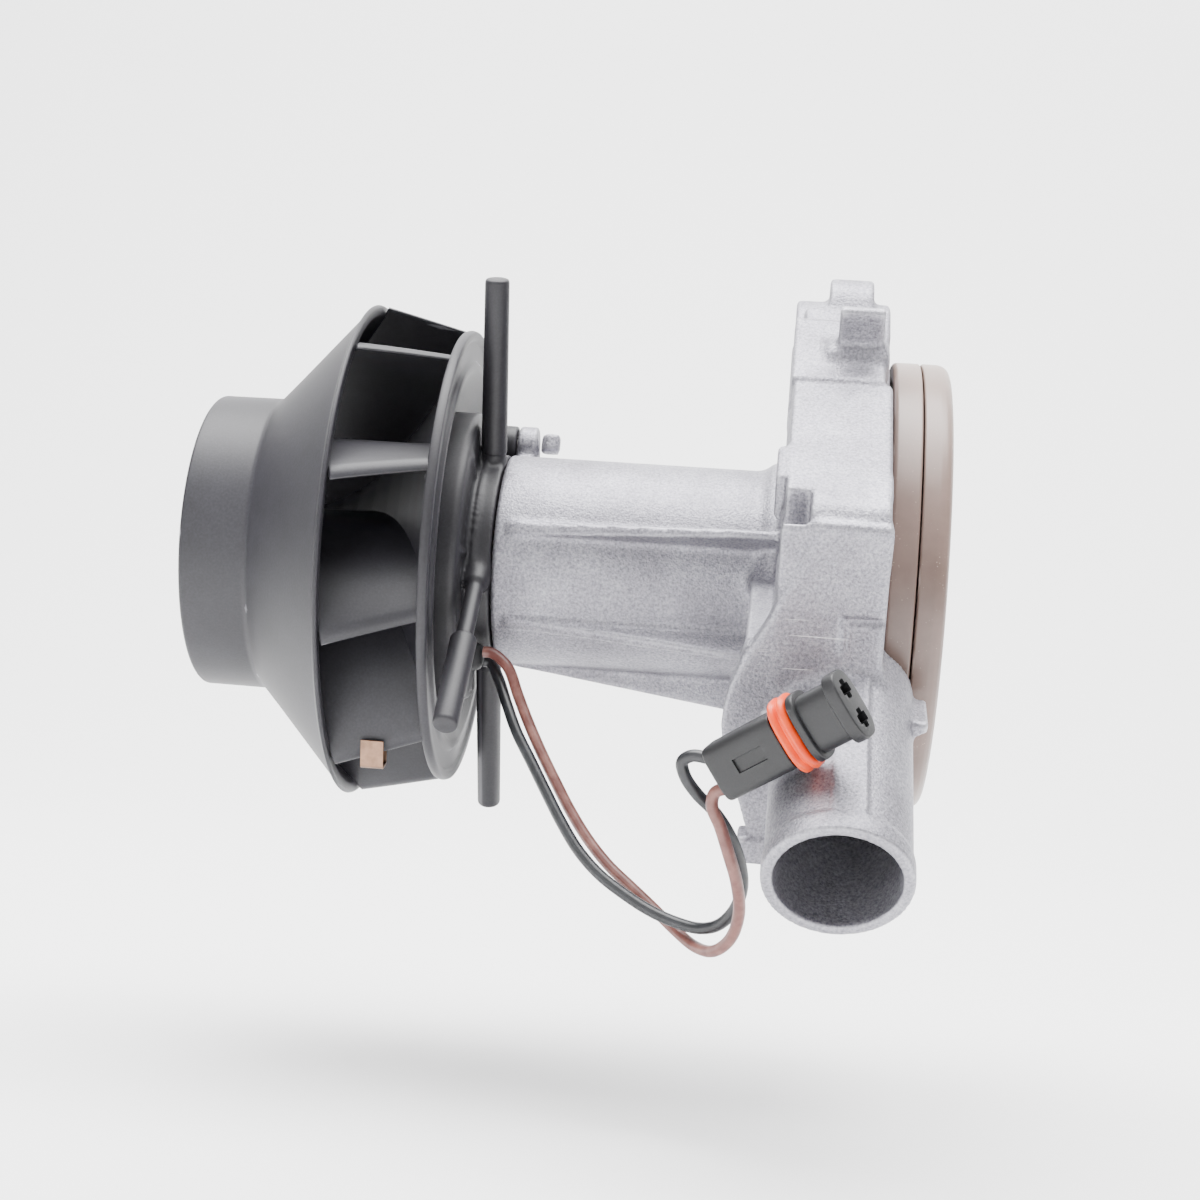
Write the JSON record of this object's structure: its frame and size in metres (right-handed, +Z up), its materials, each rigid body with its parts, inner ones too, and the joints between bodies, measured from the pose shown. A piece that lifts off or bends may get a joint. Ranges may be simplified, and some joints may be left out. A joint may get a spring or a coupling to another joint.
{
  "type": "air heater blower unit",
  "caption": "Blower unit for a diesel air heater: a cast motor housing with an inlet stub, a heating-air fan and a combustion-air wheel on one shaft, and a hanging lead.",
  "frame": {"origin": "on the shaft axis, in the plane of the casting's seating face on the heater body", "axes": "+X along the shaft from the heating-air fan to the combustion-air wheel, +Z up, -Y towards the side from which the inlet stub is seen"},
  "size_m": [0.1473, 0.1484, 0.1329],
  "materials": {
    "cast_aluminium": "sandy die-cast surface, satin",
    "fan_plastic": "matte glass-filled black",
    "cover_plastic": "matte black",
    "connector_plastic": "satin black",
    "seal_orange": "smooth silicone",
    "brown_plastic": "semi-gloss moulded brown",
    "lead_black": "smooth insulation",
    "lead_brown": "smooth insulation",
    "rubber": "matte",
    "bright_steel": "ground",
    "zinc_steel": "zinc plated",
    "can_steel": "drawn steel",
    "ferrite": "sintered",
    "copper": "enamelled copper",
    "carbon": "pressed graphite",
    "bronze": "dull spring bronze",
    "contact_brass": "stamped",
    "felt": "pressed felt"
  },
  "bodies": {
    "housing": {"bearing_outer_ring_left": "bright_steel", "bearing_outer_ring_right": "bright_steel", "blower_casting": "cast_aluminium", "brush_plate": "cover_plastic", "brush_spring_lower": "zinc_steel", "brush_spring_upper": "zinc_steel", "connector_contact_negative": "contact_brass", "connector_contact_positive": "contact_brass", "connector_housing": "connector_plastic", "connector_seal": "seal_orange", "cover_screw_lower": "zinc_steel", "cover_screw_upper": "zinc_steel", "guide_sleeve_bottom": "cover_plastic", "guide_sleeve_front": "cover_plastic", "guide_sleeve_top": "cover_plastic", "lead_black": "lead_black", "lead_brown": "lead_brown", "lead_grommet": "rubber", "magnet_front": "ferrite", "magnet_rear": "ferrite", "motor_can": "can_steel", "motor_end_cover": "cover_plastic", "motor_screw_1": "zinc_steel", "motor_screw_2": "zinc_steel", "motor_screw_3": "zinc_steel", "shaft_seal": "felt", "suppression_choke_front": "copper", "suppression_choke_rear": "copper"},
    "rotor": {"motor_shaft": "bright_steel", "bearing_inner_ring_left": "bright_steel", "bearing_inner_ring_right": "bright_steel", "bearing_balls_left": "bright_steel", "bearing_balls_right": "bright_steel", "armature_core": "can_steel", "armature_windings": "copper", "commutator": "copper", "fan_wheel": "fan_plastic", "fan_shroud": "fan_plastic", "fan_retaining_washer": "zinc_steel", "balance_clip": "bronze", "combustion_air_wheel": "brown_plastic", "combustion_air_wheel_cover": "brown_plastic", "wheel_retaining_washer": "zinc_steel"},
    "brush_upper": {"carbon_brush_upper": "carbon"},
    "brush_lower": {"carbon_brush_lower": "carbon"}
  },
  "joints": [
    {"name": "shaft_spin", "type": "hinge", "parent": "housing", "child": "rotor", "pos_m": [0, 0, 0], "axis": [1, 0, 0], "continuous": true},
    {"name": "upper_brush_slide", "type": "slide", "parent": "housing", "child": "brush_upper", "axis": [0, 0, 1], "range_m": [0, 0.002], "deforming": ["brush_spring_upper"]},
    {"name": "lower_brush_slide", "type": "slide", "parent": "housing", "child": "brush_lower", "axis": [0, 0, -1], "range_m": [0, 0.002], "deforming": ["brush_spring_lower"]}
  ]
}
